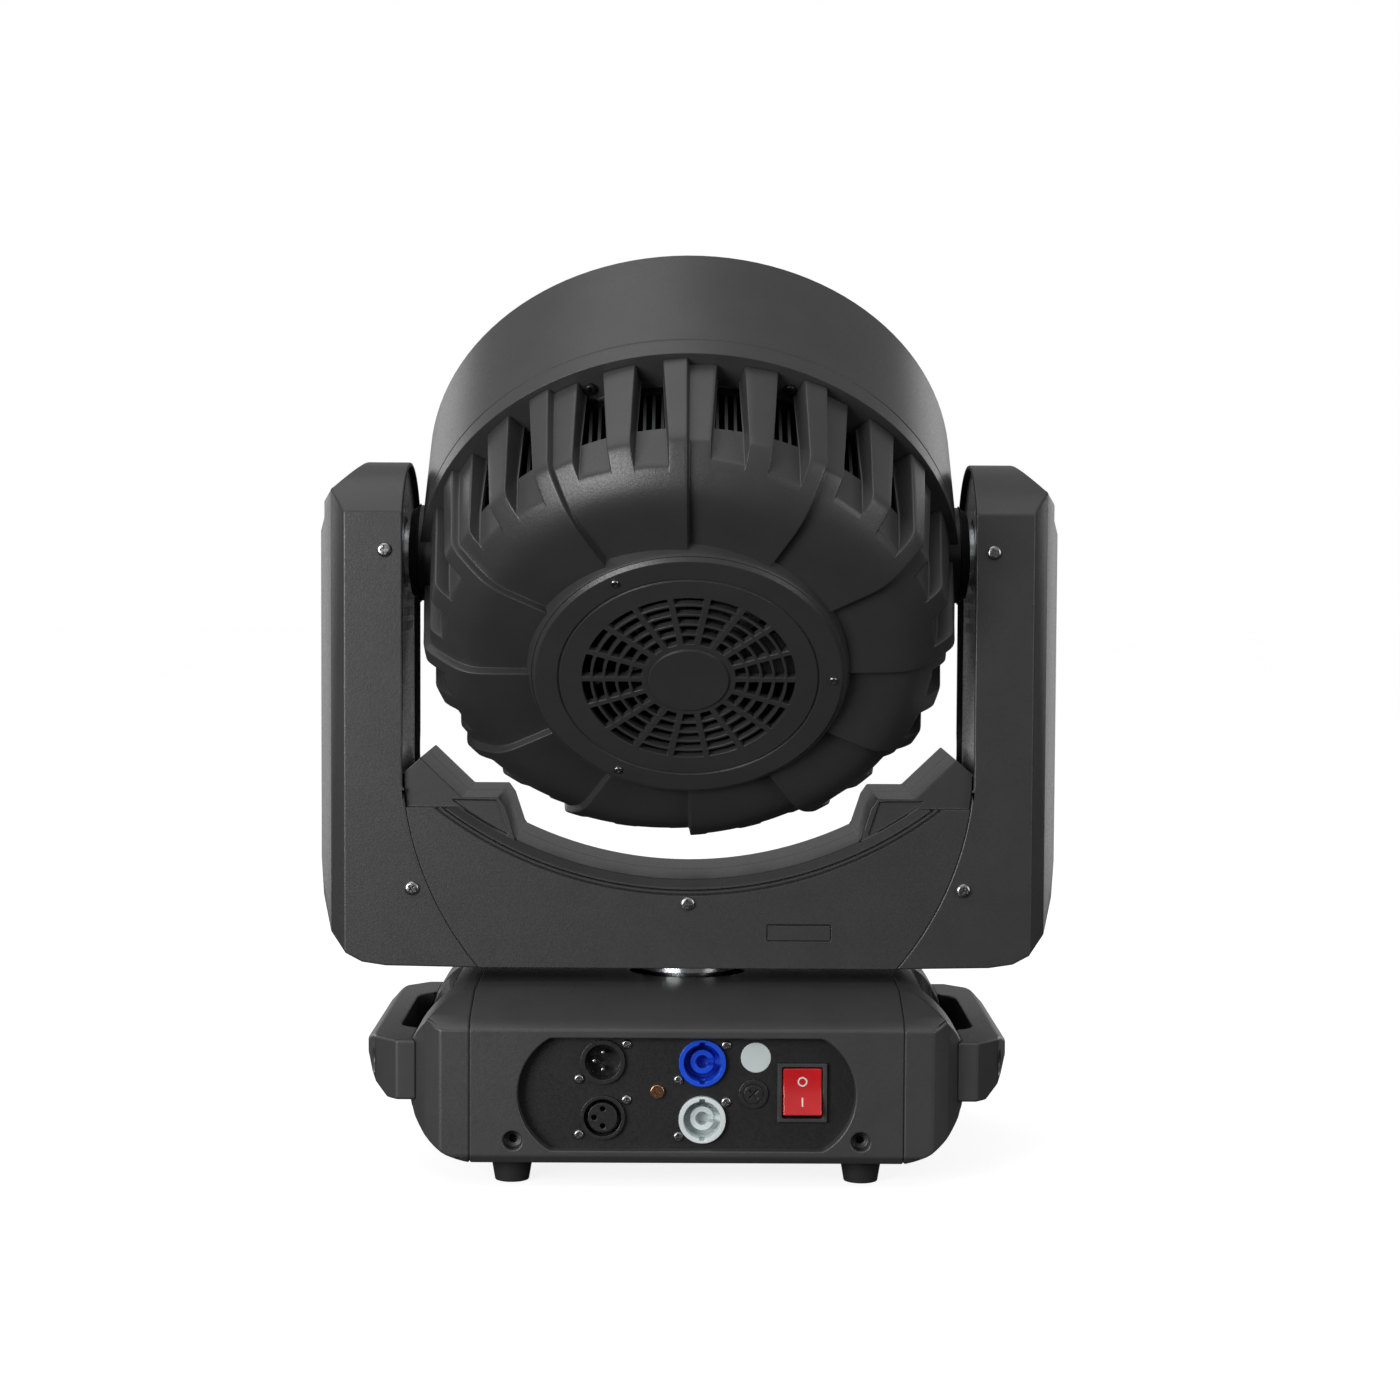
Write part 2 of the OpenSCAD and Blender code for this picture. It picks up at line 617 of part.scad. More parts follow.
// Rear half of the saddle cover, from the middle of the yoke to its rear face
module saddle_half() difference() {
    intersection() {
        union() {
            difference() {
                slab_y(-yoke_half_d, 0) saddle_body();
                translate([0, -yoke_half_d - eps, head_space_z]) rotate([-90, 0, 0]) cylinder(
                    h = bevel + bevel_run_out, r1 = saddle_r + bevel, r2 = saddle_r - bevel_run_out,
                    $fn = 192);
            }
            slab_y(-yoke_half_d + ear_set_back, 0) ears();
        }
        intersection_for (side = [-1, 1]) slab_y(-far, far)
            translate([side * seam_centre[0], seam_centre[1]]) circle(seam_r, $fn = 192);
    }
    slab_y(-yoke_half_d + yoke_wall, 1) offset(delta = -yoke_wall) saddle_body();
    slab_y(-yoke_half_d + ear_set_back + yoke_wall, 1) offset(delta = -yoke_wall) {
        saddle_body();
        ears();
    }
    rod_z(0, 0, yoke_bottom - 1, yoke_bottom + yoke_wall + 1, hub_flange_r + 3);
    rod_y(0, saddle_screw_z, -yoke_half_d - 1, -yoke_half_d + 4, 2);
}
access_low = [42.4, 120];       // corners of the small plate in the rear cover, in X and Z
access_high = [75.6, 128];
module saddle_cover_rear() color(shell_grey) difference() {
    saddle_half();
    slab_y(-far, -yoke_half_d + 4) translate(access_low - [0.3, 0.3])
        square(access_high - access_low + [0.6, 0.6]);
}
module saddle_cover_front() color(shell_grey) rotate(180) saddle_half();
module access_plate() color(shell_grey) {
    slab_y(-yoke_half_d - 0.3, -yoke_half_d + yoke_wall + eps) translate(access_low)
        square(access_high - access_low);
    slab_y(-yoke_half_d + yoke_wall, -yoke_half_d + yoke_wall + 1) translate(access_low - [2, 2])
        square(access_high - access_low + [4, 4]);
}

arm_screws = [[160.5, tilt_z + 1.8], [146, 147]];
saddle_screw_z = 139.5;
module yoke_screws() color(steel) for (turn = [0, 180]) rotate(turn) {
    both_sides() for (c = arm_screws) screw_y(c[0], -yoke_half_d, c[1], 3.8, 1.6, 2, 6);
    screw_y(0, -yoke_half_d, saddle_screw_z, 3.8, 1.6, 2, 6);
}

arm_plate_x = frame_x - 2;
vent_zs = [tilt_z - 24, tilt_z - 32, tilt_z - 40];
module arm_plates() color([0.3, 0.3, 0.31]) both_sides() difference() {
    slab_x(arm_plate_x, frame_x) intersection() {
        arm_side(yoke_wall);
        translate([-far, 205]) square([2 * far, far]);
    }
    rod_x(0, tilt_z, 0, far, bearing_outer_r + 3);
    for (y = [-36 : 8 : 36], z = vent_zs) block([0, y - 1.5, z - 2.5], [far, y + 1.5, z + 2.5]);
    for (y = [-9, 9]) rod_x(y, tilt_z + 24, 0, far, 2);
}
module tilt_bearings() color([0.75, 0.76, 0.78]) both_sides() difference() {
    rod_x(0, tilt_z, arm_in, frame_x + frame_t, bearing_outer_r);
    rod_x(0, tilt_z, 0, far, shaft_r + running);
    difference() {
        rod_x(0, tilt_z, 0, arm_in + 1, bearing_outer_r - 1.4);
        rod_x(0, tilt_z, 0, far, bearing_outer_r - 2.6);
    }
}

tilt_pulley_x = 166;
tilt_motor_drop = 100;          // the tilt motor sits this far under the tilt axis
tilt_motor_face = 174;
module on_tilt_motor() translate([0, 0, tilt_z - tilt_motor_drop]) rotate([0, -90, 0]) children();
module tilt_motor() color([0.2, 0.2, 0.2]) on_tilt_motor() {
    translate([0, 0, -tilt_motor_face]) stepper(19.5, 10);
    difference() {
        block([-24, -24, -tilt_motor_face], [24, 24, -tilt_motor_face + 1.9]);
        rod_z(0, 0, -far, 0, 11);
    }
    for (a = [-20, 20], b = [-20, 20])
        rod_z(a, b, -tilt_motor_face + 1.8, -frame_x - frame_t, 3);
}
module tilt_motor_pulley() color(steel) on_tilt_motor() {
    translate([0, 0, -tilt_pulley_x]) pulley(motor_teeth, motor_shaft_r - 1);
    rod_z(0, 0, -tilt_motor_face - 9, -tilt_pulley_x + pulley_half_w, motor_shaft_r);
}
module tilt_belt() color(rubber_black) translate([0, 0, tilt_z]) rotate([0, -90, 0])
    translate([0, 0, -tilt_pulley_x]) belt(tilt_teeth, -tilt_motor_drop);

// ---- Head: drawn with its beam along +Z and the tilt axis along X ----

head_tip = head_elevation - 90;         // turns the beam from straight up to its stored angle
module on_head() translate([0, 0, tilt_z]) rotate([head_tip, 0, 0]) children();

shell_start = -16;              // where the rear shell meets the hood
shell_end = -98;                // rear face of the shell, under the grille disc
boss_r = 26;                    // radius of the bosses that the head hangs on
boss_in = 130;
boss_out = arm_in - 0.6;
module boss_space() both_sides() rod_x(0, 0, boss_in - 0.3, far, boss_r + 0.3);

module shell_profile() polygon([
    [62, shell_end], [116.5, shell_end + 1], [126.5, -90], [134.5, -83], [140, -77],
    [143, shell_start], [139.8, shell_start], [138, -56], [126, -56], [126, -84],
    [116, shell_end + 4], [62, shell_end + 4]
]);
window_angles = [5, 18];        // start of the two windows in each petal
window_span = 7;
module head_shell() color(shell_grey) on_head() difference() {
    rotate_extrude($fn = 192) shell_profile();
    for (petal = [0 : petals - 1], a = window_angles) rotate(petal * 360 / petals + a - 90)
        rotate_extrude(angle = window_span, $fn = 192) polygon([
            [129.2, -89], [150, -89], [150, shell_start - 3], [129.2, shell_start - 3]
        ]);
    boss_space();
}

grille_face = -102;
slot_rings = [[24.5, 30], [31.5, 36.8], [38.3, 43.4], [44.9, 49.8], [51.3, 55.5]];
spokes = 18;
module fan_grille() color(panel_black) on_head() difference() {
    union() {
        rotate_extrude() polygon([
            [0, shell_end], [grille_r, shell_end], [grille_r, shell_end - 1.5],
            [grille_r - 2.5, grille_face], [0, grille_face]
        ]);
        rod_z(0, 0, grille_face - 1, grille_face + 1, 20.8);
    }
    ring(grille_face - 1, grille_face + 0.8, 68.2, 67);
    difference() {
        for (r = slot_rings) ring(grille_face - 2, shell_end + 1, r[1], r[0]);
        for (i = [0 : spokes - 1]) rotate(i * 360 / spokes)
            block([20, -1.6, grille_face - 3], [60, 1.6, 0]);
    }
    for (a = grille_screw_angles) rotate(a) rod_z(grille_screw_r, 0, -far, 0, 1.6);
}

fan_half = 60;
fan_back = shell_end + 4.1;       // rear face of the fan, against the shell's end wall
fan_front = fan_back + 25;
fan_bore_r = 58.5;
module fan_frame() color(panel_black) on_head() difference() {
    union() {
        difference() {
            slab_z(fan_back, fan_front) offset(r = 6) square(2 * fan_half - 12, center = true);
            rod_z(0, 0, fan_back - 1, fan_front + 1, fan_bore_r);
        }
        rod_z(0, 0, fan_front - 3, fan_front, 20);
        for (turn = [45 : 90 : 315]) rotate(turn)
            block([18, -3, fan_front - 3], [fan_bore_r + 1, 3, fan_front]);
    }
    for (sx = [-1, 1], sy = [-1, 1]) rod_z(sx * 52.5, sy * 52.5, -far, 0, 2.2);
    rod_z(0, 0, -far, 0, 2 + running);
}
fan_blades = 7;
module fan_rotor() color([0.1, 0.1, 0.1]) on_head() {
    rod_z(0, 0, fan_back + 2, fan_front - 4.5, 20);
    rod_z(0, 0, fan_front - 5, fan_front - 0.5, 2);
    intersection() {
        for (i = [0 : fan_blades - 1]) rotate(i * 360 / fan_blades) translate([0, 0, fan_back + 11])
            rotate([52, 0, 0]) block([19, -0.9, -12], [60, 0.9, 12]);
        ring(fan_back + 2.5, fan_front - 5, fan_bore_r - 1.5, 19);
    }
}

sink_r = 123;
sink_face = -13;                // front face of the heatsink, which the lamp board lies on
sink_base_t = 6;
fin_end = -60;
fin_t = 1.6;
fin_count = floor((sink_r - 3) / fin_pitch);
module heatsink() color([0.55, 0.56, 0.58]) on_head() {
    rod_z(0, 0, sink_face - sink_base_t, sink_face, sink_r);
    for (i = [-fin_count : fin_count]) let (x = i * fin_pitch, half = sqrt(sink_r ^ 2 - x ^ 2) - 0.8)
        block([x - fin_t / 2, -half, fin_end], [x + fin_t / 2, half, sink_face - sink_base_t + eps]);
}

// Lenses and lamps lie on a hexagonal grid: one, a ring of six and a ring of twelve
lens_grid = [for (a = [-2 : 2], b = [-2 : 2]) if (abs(a + b) <= 2)
    lens_pitch * [a + b / 2, b * sqrt(3) / 2]];
lamp_face = sink_face + board_t;
module led_board() color([0.85, 0.86, 0.84]) on_head() {
    rod_z(0, 0, sink_face, lamp_face, 112);
    for (p = lens_grid) translate(p) block([-4, -4, lamp_face - eps], [4, 4, lamp_face + 2]);
}

plate_outer_r = 136;
screw_circle_r = 136.5;         // circle of the screws between hood and rear shell
flange_screw_angles = [22.5 : 45 : 337.5];
module flange_screw_holes() for (a = flange_screw_angles)
    rotate(a - 90) rod_z(screw_circle_r - 3.2, 0, -30, 0, 1.6);
hood_flange_r = 126;
module hood() color(shell_grey) on_head() difference() {
    rotate_extrude($fn = 192) polygon([
        [hood_flange_r, shell_start], [hood_r, shell_start], [hood_r, shell_start + 11.4],
        [hood_r - 0.6, shell_start + 12], [hood_r, shell_start + 12.6], [hood_r, hood_front],
        [hood_r - 7, hood_front], [hood_r - 7, hood_front - 2.5],
        [hood_r - hood_wall, hood_front - 2.5], [hood_r - hood_wall, sink_face],
        [hood_flange_r, sink_face]
    ]);
    boss_space();
    flange_screw_holes();
}

rod_r = 3;
rod_circle_r = 131;
rod_angles = [45 : 90 : 315];
guide_end = hood_front - 22;    // front end of the guide rods and the lead screws
screw_x = 0;
screw_y_at = 124;               // the lead screws lie this far either side of the beam axis
module head_plate() color(steel) on_head() {
    difference() {
        ring(sink_face, sink_face + 3, plate_outer_r, 113);
        boss_space();
        flange_screw_holes();
    }
    for (a = rod_angles) rotate(a) rod_z(rod_circle_r, 0, sink_face + 3 - eps, guide_end, rod_r);
}

module head_screws() color([0.12, 0.12, 0.12]) on_head() {
    for (a = flange_screw_angles) rotate(a - 90) translate([screw_circle_r - 3.2, 0, 0]) {
        rod_z(0, 0, shell_start - 2.4, shell_start, 3);
        rod_z(0, 0, shell_start - 1, sink_face + 3, 1.6);
    }
    for (a = grille_screw_angles) rotate(a) {
        rod_z(grille_screw_r, 0, grille_face - 1, grille_face, 2.4);
        rod_z(grille_screw_r, 0, grille_face - eps, shell_end, 1.6);
    }
}
grille_screw_r = 75;
grille_screw_angles = [0, 120, 240];

module trunnions() color([0.16, 0.16, 0.17]) on_head() both_sides() difference() {
    union() {
        rod_x(0, 0, boss_in, 146, boss_r);
        translate([146 - eps, 0, 0]) rotate([0, 90, 0])
            cylinder(h = boss_out - 146 + eps, r1 = boss_r, r2 = boss_r - 3);
        rod_x(0, 0, boss_out - eps, tilt_pulley_x + pulley_half_w + 1, shaft_r);
    }
    rod_x(0, 0, 0, far, 7);
}
module tilt_pulley() color(steel) on_head()
    translate([tilt_pulley_x, 0, 0]) rotate([0, -90, 0]) pulley(tilt_teeth, shaft_r);

lens_plate_low = 20;            // rear face of the zoom carriage in the stored pose
lens_plate_t = 3;
lens_r = 24.5;
lens_seat_r = 22;
zoom_screw_r = 4;
module lens_plate() color(panel_black) on_head() difference() {
    slab_z(lens_plate_low, lens_plate_low + lens_plate_t) difference() {
        circle(137, $fn = 192);
        for (side = [-1, 1]) translate([side * 142.5, 0]) square([28, 60], center = true);
    }
    for (p = lens_grid) translate(p) rod_z(0, 0, 0, 60, lens_seat_r);
    for (a = rod_angles) rotate(a) rod_z(rod_circle_r, 0, 0, 60, rod_r + running);
    for (s = [-1, 1]) rod_z(screw_x, s * screw_y_at, 0, 60, zoom_screw_r + running);
}
module lenses() color([0.85, 0.9, 0.95, 0.5]) on_head() for (p = lens_grid) translate(p)
    rotate_extrude($fn = 64) polygon(concat(
        [[0, -4], [6, -4], [lens_seat_r, lens_plate_low - 4], [lens_seat_r, lens_plate_low + lens_plate_t],
         [lens_r, lens_plate_low + lens_plate_t]],
        [for (a = [0 : 10 : 90]) [lens_r * cos(a), lens_plate_low + lens_plate_t + 1.5 + 7 * sin(a)]]
    ));

zoom_motor_top = 8;
module zoom_motors() color([0.2, 0.2, 0.2]) on_head() for (s = [-1, 1]) difference() {
    rod_z(screw_x, s * screw_y_at, sink_face + 3, zoom_motor_top, 10);
    rod_z(screw_x, s * screw_y_at, -2, 60, zoom_screw_r + running);
}
module zoom_screw(s) color([0.75, 0.76, 0.78]) on_head()
    rod_z(screw_x, s * screw_y_at, -1, guide_end, zoom_screw_r);
module zoom_screw_upper() zoom_screw(-1);
module zoom_screw_lower() zoom_screw(1);

base_plate();
base_cover();
end_cap_left();
end_cap_right();
handle_left();
handle_right();
rubber_feet();
base_screws();
connector_panel();
data_inlet();
data_outlet();
power_inlet();
power_outlet();
fuse_holder();
fuse_cap();
switch_frame();
switch_rocker();
earth_screw();
display_panel();
display_window();
button_menu();
button_down();
button_up();
button_enter();
circuit_boards();
power_supply();
pan_chassis();
pan_bearing();
pan_motor();
pan_motor_pulley();
pan_belt();
pan_hub();
yoke_frame();
arm_cover_left();
arm_cover_right();
saddle_cover_rear();
saddle_cover_front();
access_plate();
yoke_screws();
arm_plates();
tilt_bearings();
tilt_motor();
tilt_motor_pulley();
tilt_belt();
head_shell();
fan_grille();
fan_frame();
fan_rotor();
heatsink();
led_board();
hood();
head_plate();
trunnions();
tilt_pulley();
lens_plate();
lenses();
zoom_motors();
zoom_screw_upper();
zoom_screw_lower();
head_screws();
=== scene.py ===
"""Looks of a moving head light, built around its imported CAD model.

Lengths in this file are in millimetres until MM turns them into metres.
"""

import json
import math

import bmesh
import bpy
from mathutils import Matrix, Vector


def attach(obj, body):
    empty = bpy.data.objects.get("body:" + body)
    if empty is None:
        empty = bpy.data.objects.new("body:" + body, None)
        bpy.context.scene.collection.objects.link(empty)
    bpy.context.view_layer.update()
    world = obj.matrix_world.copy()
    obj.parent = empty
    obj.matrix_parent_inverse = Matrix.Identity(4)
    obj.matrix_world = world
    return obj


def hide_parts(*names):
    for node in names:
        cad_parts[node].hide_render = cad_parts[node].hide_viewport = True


MM = 0.001
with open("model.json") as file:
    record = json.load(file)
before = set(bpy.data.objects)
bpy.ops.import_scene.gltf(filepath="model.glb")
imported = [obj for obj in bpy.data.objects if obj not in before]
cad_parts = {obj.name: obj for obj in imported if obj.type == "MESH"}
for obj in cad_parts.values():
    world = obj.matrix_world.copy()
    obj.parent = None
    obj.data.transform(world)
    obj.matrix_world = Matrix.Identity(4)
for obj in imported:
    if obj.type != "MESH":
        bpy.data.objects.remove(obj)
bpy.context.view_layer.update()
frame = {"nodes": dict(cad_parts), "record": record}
slot_of = {row["node"]: row["material_slot"] for row in frame["record"]["subparts"]}
body_of = {node: body for body, nodes in frame["record"]["behaviour"]["bodies"].items() for node in nodes}

TILT_Z = 324
HEAD = Matrix.Translation((0, 0, TILT_Z * MM)) @ Matrix.Rotation(math.radians(-50.7), 4, "X")


# ---- Materials ----


def noise_node(tree, scale, detail, stretch=(1, 1, 1)):
    """The value of a noise pattern in object space. Scale is in cycles per metre."""
    place = tree.nodes.new("ShaderNodeTexCoord").outputs["Object"]
    if stretch != (1, 1, 1):
        mapping = tree.nodes.new("ShaderNodeMapping")
        mapping.inputs["Scale"].default_value = stretch
        tree.links.new(place, mapping.inputs["Vector"])
        place = mapping.outputs["Vector"]
    noise = tree.nodes.new("ShaderNodeTexNoise")
    noise.inputs["Scale"].default_value = scale
    noise.inputs["Detail"].default_value = detail
    tree.links.new(place, noise.inputs["Vector"])
    return noise.outputs["Fac"]


def spread_node(tree, value, low, high):
    """A noise value, which lies about 0.5, spread over low to high."""
    ranged = tree.nodes.new("ShaderNodeMapRange")
    ranged.inputs["From Min"].default_value = 0.3
    ranged.inputs["From Max"].default_value = 0.7
    ranged.inputs["To Min"].default_value = low
    ranged.inputs["To Max"].default_value = high
    tree.links.new(value, ranged.inputs["Value"])
    return ranged.outputs["Result"]


def material(name, colour, roughness, grain=900, depth=0.1, shade=0.1, gloss=0.06,
             mottle=40, stretch=(1, 1, 1), **sockets):
    """A surface with a fine grain in its relief and a slow drift in its shade and gloss."""
    made = bpy.data.materials.new(name)
    made.use_nodes = True
    tree = made.node_tree
    shader = tree.nodes["Principled BSDF"]
    fine = noise_node(tree, grain, 3, stretch)
    slow = noise_node(tree, mottle, 2)
    mix = tree.nodes.new("ShaderNodeMix")
    mix.data_type = "RGBA"
    mix.inputs["A"].default_value = [c * (1 - shade) for c in colour] + [1]
    mix.inputs["B"].default_value = [min(c * (1 + shade), 1) for c in colour] + [1]
    tree.links.new(spread_node(tree, slow, 0, 1), mix.inputs["Factor"])
    tree.links.new(mix.outputs["Result"], shader.inputs["Base Color"])
    rough = spread_node(tree, fine, roughness - gloss, roughness + gloss)
    tree.links.new(rough, shader.inputs["Roughness"])
    bump = tree.nodes.new("ShaderNodeBump")
    bump.inputs["Strength"].default_value = depth
    bump.inputs["Distance"].default_value = 0.2 * MM
    tree.links.new(fine, bump.inputs["Height"])
    tree.links.new(bump.outputs["Normal"], shader.inputs["Normal"])
    for socket, value in sockets.items():
        shader.inputs[socket.replace("_", " ")].default_value = value
    return made


BRUSHED = (1, 1, 12)
MATERIALS = {
    "moulded_grey": material("moulded_grey", (0.042, 0.042, 0.043), 0.37, depth=0.3, shade=0.06),
    "base_grey": material("base_grey", (0.052, 0.052, 0.053), 0.37, depth=0.3, shade=0.06),
    "panel_black": material("panel_black", (0.013, 0.013, 0.0135), 0.42, depth=0.15),
    "socket_black": material("socket_black", (0.024, 0.024, 0.025), 0.3, grain=400, depth=0.05),
    "socket_blue": material("socket_blue", (0.012, 0.085, 0.72), 0.3, grain=400, depth=0.05),
    "socket_white": material("socket_white", (0.74, 0.8, 0.8), 0.32, grain=400, depth=0.05),
    "switch_grey": material("switch_grey", (0.05, 0.05, 0.053), 0.38, depth=0.12),
    "rocker_red": material("rocker_red", (0.75, 0.02, 0.025), 0.2, grain=300, depth=0.03,
                           Transmission_Weight=0.25, Coat_Weight=0.5, Coat_Roughness=0.08),
    "screw_steel": material("screw_steel", (0.42, 0.42, 0.43), 0.26, depth=0.1, Metallic=1.0),
    "screw_black": material("screw_black", (0.02, 0.02, 0.02), 0.34, depth=0.1, Metallic=0.6),
    "earth_brass": material("earth_brass", (0.85, 0.45, 0.25), 0.25, depth=0.1, Metallic=1.0),
    "rubber": material("rubber", (0.014, 0.014, 0.014), 0.75, depth=0.5),
    "sheet_steel": material("sheet_steel", (0.45, 0.46, 0.48), 0.38, depth=0.15, shade=0.18,
                            mottle=90, Metallic=1.0),
    "machined_metal": material("machined_metal", (0.86, 0.87, 0.89), 0.2, grain=700, depth=0.12,
                               stretch=BRUSHED, Metallic=1.0),
    "heatsink_metal": material("heatsink_metal", (0.09, 0.092, 0.095), 0.4, grain=700, depth=0.12,
                               stretch=BRUSHED, Metallic=1.0),
    "dark_metal": material("dark_metal", (0.018, 0.018, 0.019), 0.38, depth=0.2, Metallic=0.3),
    "motor_black": material("motor_black", (0.03, 0.03, 0.03), 0.42, depth=0.2),
    "circuit_green": material("circuit_green", (0.02, 0.14, 0.06), 0.3, grain=500, depth=0.1),
    "lamp_white": material("lamp_white", (0.75, 0.76, 0.74), 0.42, depth=0.1),
    "lens_clear": material("lens_clear", (0.93, 0.95, 0.97), 0.06, grain=300, depth=0.02, gloss=0.03,
                           shade=0.02, Transmission_Weight=1.0, IOR=1.49),
    "display_glass": material("display_glass", (0.05, 0.08, 0.13), 0.09, grain=300, depth=0.02, gloss=0.03,
                              Transmission_Weight=0.75, IOR=1.49),
    "button_grey": material("button_grey", (0.12, 0.12, 0.125), 0.5, depth=0.25),
    # The inner arm plates are satin metal, and their pale colour is partly painted light: a painted
    # reflection of the bright surround on the inner faces.
    "arm_inner": material("arm_inner", (0.62, 0.62, 0.63), 0.3, depth=0.15, Metallic=0.4),
}
MARK_WHITE = material("mark_white", (0.8, 0.78, 0.76), 0.4, depth=0.05)
PAPER = material("sticker_paper", (0.62, 0.68, 0.68), 0.42, grain=500, depth=0.1, shade=0.04)


# ---- Mesh helpers ----


def mesh_object(name, verts, faces):
    """A new object from points in millimetres."""
    mesh = bpy.data.meshes.new(name)
    mesh.from_pydata([[c * MM for c in v] for v in verts], [], faces)
    mesh.validate()
    thing = bpy.data.objects.new(name, mesh)
    bpy.context.scene.collection.objects.link(thing)
    return thing


def evaluate(thing):
    """Applies the modifiers of an object."""
    graph = bpy.context.evaluated_depsgraph_get()
    mesh = bpy.data.meshes.new_from_object(thing.evaluated_get(graph))
    thing.modifiers.clear()
    old, thing.data = thing.data, mesh
    bpy.data.meshes.remove(old)
    return thing


def discard(*things):
    for thing in things:
        mesh = thing.data
        bpy.data.objects.remove(thing)
        bpy.data.meshes.remove(mesh)


def boolean(thing, cutter, operation="DIFFERENCE"):
    modifier = thing.modifiers.new("cut", "BOOLEAN")
    modifier.operation = operation
    modifier.solver = "EXACT"
    modifier.object = cutter
    evaluate(thing)
    discard(cutter)
    return thing


def lathe(name, profile, segments=96):
    """A closed profile of (radius, height) pairs turned about Z. A pair at radius 0 becomes one pole."""
    verts, rings = [], []
    for r, z in profile:
        turns = 1 if r == 0 else segments
        rings.append(range(len(verts), len(verts) + turns))
        for i in range(turns):
            angle = 2 * math.pi * i / segments
            verts.append((r * math.cos(angle), r * math.sin(angle), z))
    faces = []
    for low, high in zip(rings, rings[1:] + rings[:1]):
        for i in range(segments):
            j = (i + 1) % segments
            quad = [low[i % len(low)], low[j % len(low)], high[j % len(high)], high[i % len(high)]]
            corners = list(dict.fromkeys(quad))
            if len(corners) > 2:
                faces.append(corners)
    return mesh_object(name, verts, faces)


def prism(name, outline, low, high):
    """An outline in X and Z, drawn out along Y from low to high."""
    count = len(outline)
    verts = [(x, y, z) for y in (low, high) for x, z in outline]
    faces = [list(range(count)), list(range(2 * count - 1, count - 1, -1))]
    faces += [[i, i + count, (i + 1) % count + count, (i + 1) % count] for i in range(count)]
    thing = mesh_object(name, verts, faces)
    recalculate(thing)
    return thing


def recalculate(thing):
    bm = bmesh.new()
    bm.from_mesh(thing.data)
    bmesh.ops.recalc_face_normals(bm, faces=bm.faces)
    bm.to_mesh(thing.data)
    bm.free()


def turned_to_y(thing):
    """Turns a lathed piece so that its +Z points along -Y, out of the rear panel."""
    thing.data.transform(Matrix.Rotation(math.radians(90), 4, "X"))
    return thing


def moved(thing, x=0, y=0, z=0):
    thing.data.transform(Matrix.Translation((x * MM, y * MM, z * MM)))
    return thing


def joined(name, things):
    """One object out of several, which are removed."""
    bm = bmesh.new()
    for thing in things:
        bm.from_mesh(thing.data)
    mesh = bpy.data.meshes.new(name)
    bm.to_mesh(mesh)
    bm.free()
    discard(*things)
    whole = bpy.data.objects.new(name, mesh)
    bpy.context.scene.collection.objects.link(whole)
    return whole


def soften(thing, width, segments=2, angle=28):
    """Rounds the edges and shades the faces smoothly between them."""
    if width:
        bevel = thing.modifiers.new("rounded edges", "BEVEL")
        bevel.width = width * MM
        bevel.segments = segments
        bevel.limit_method = "ANGLE"
        bevel.angle_limit = math.radians(angle)
        bevel.use_clamp_overlap = False
        bevel.loop_slide = False
        bevel.miter_outer = "MITER_ARC"
        bevel.face_strength_mode = "FSTR_ALL"
    for face in thing.data.polygons:
        face.use_smooth = True
    if not width:
        thing.data.set_sharp_from_angle(angle=math.radians(angle + 4))
    normals = thing.modifiers.new("flat faces stay flat", "WEIGHTED_NORMAL")
    normals.keep_sharp = True
    normals.weight = 80
    normals.use_face_influence = bool(width)
    return thing


def copy_of(node, name):
    """A free copy of a CAD node's mesh, with its seams closed and its flat faces in few pieces."""
    mesh = frame["nodes"][node].data.copy()
    mesh.name = name
    bm = bmesh.new()
    bm.from_mesh(mesh)
    bmesh.ops.remove_doubles(bm, verts=bm.verts, dist=0.002 * MM)
    bmesh.ops.dissolve_limit(bm, angle_limit=math.radians(0.6), verts=bm.verts, edges=bm.edges)
    bmesh.ops.triangulate(bm, faces=[face for face in bm.faces if len(face.verts) > 4])
    for edge in bm.edges:
        edge.smooth = True
    bm.to_mesh(mesh)
    bm.free()
    thing = bpy.data.objects.new(name, mesh)
    bpy.context.scene.collection.objects.link(thing)
    return thing


def place(thing, body, slot, *nodes, surface=None):
    """The piece rides on a body, takes a slot's finish, and stands for these CAD nodes."""
    thing.data.materials.clear()
    thing.data.materials.append(surface or MATERIALS[slot])
    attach(thing, body)
    if nodes:
        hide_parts(*nodes)
    return thing


def refined(node, width, name=None, **options):
    """A CAD node with rounded edges, in place of the node."""
    thing = soften(copy_of(node, name or node + "_finished"), width, **options)
    return place(thing, body_of[node], slot_of[node], node)


# ---- Screws ----


def cross_head(name, radius, height, recess):
    """A pan head with a cross recess, its seat at 0 and its top along +Z."""
    dome = [(0, -0.3), (radius, -0.3), (radius, 0.35 * height)]
    for step in range(1, 7):
        angle = math.radians(15 * step)
        dome.append((radius * (0.55 + 0.45 * math.cos(angle)), height * (0.35 + 0.65 * math.sin(angle))))
    head = lathe(name, dome + [(0, height)], 40)
    half, reach, depth = recess / 2, 0.62 * radius, 0.75 * height
    outline = [(-reach, -half), (reach, -half), (reach, half), (-reach, half)]
    for turn in (0, 90):
        slot = prism("slot", outline, -height - 1, -height + depth)
        slot.data.transform(Matrix.Rotation(math.radians(-90), 4, "X"))
        slot.data.transform(Matrix.Rotation(math.radians(turn), 4, "Z"))
        boolean(head, slot)
    return head


def screw_set(name, template, matrices, body, slot, *nodes):
    """Copies of one screw head, each put in place by a matrix, as one piece."""
    copies = []
    for matrix in matrices:
        copy = template.copy()
        copy.data = template.data.copy()
        copy.data.transform(matrix)
        copies.append(copy)
    return place(soften(joined(name, copies), 0, angle=34), body, slot, *nodes)


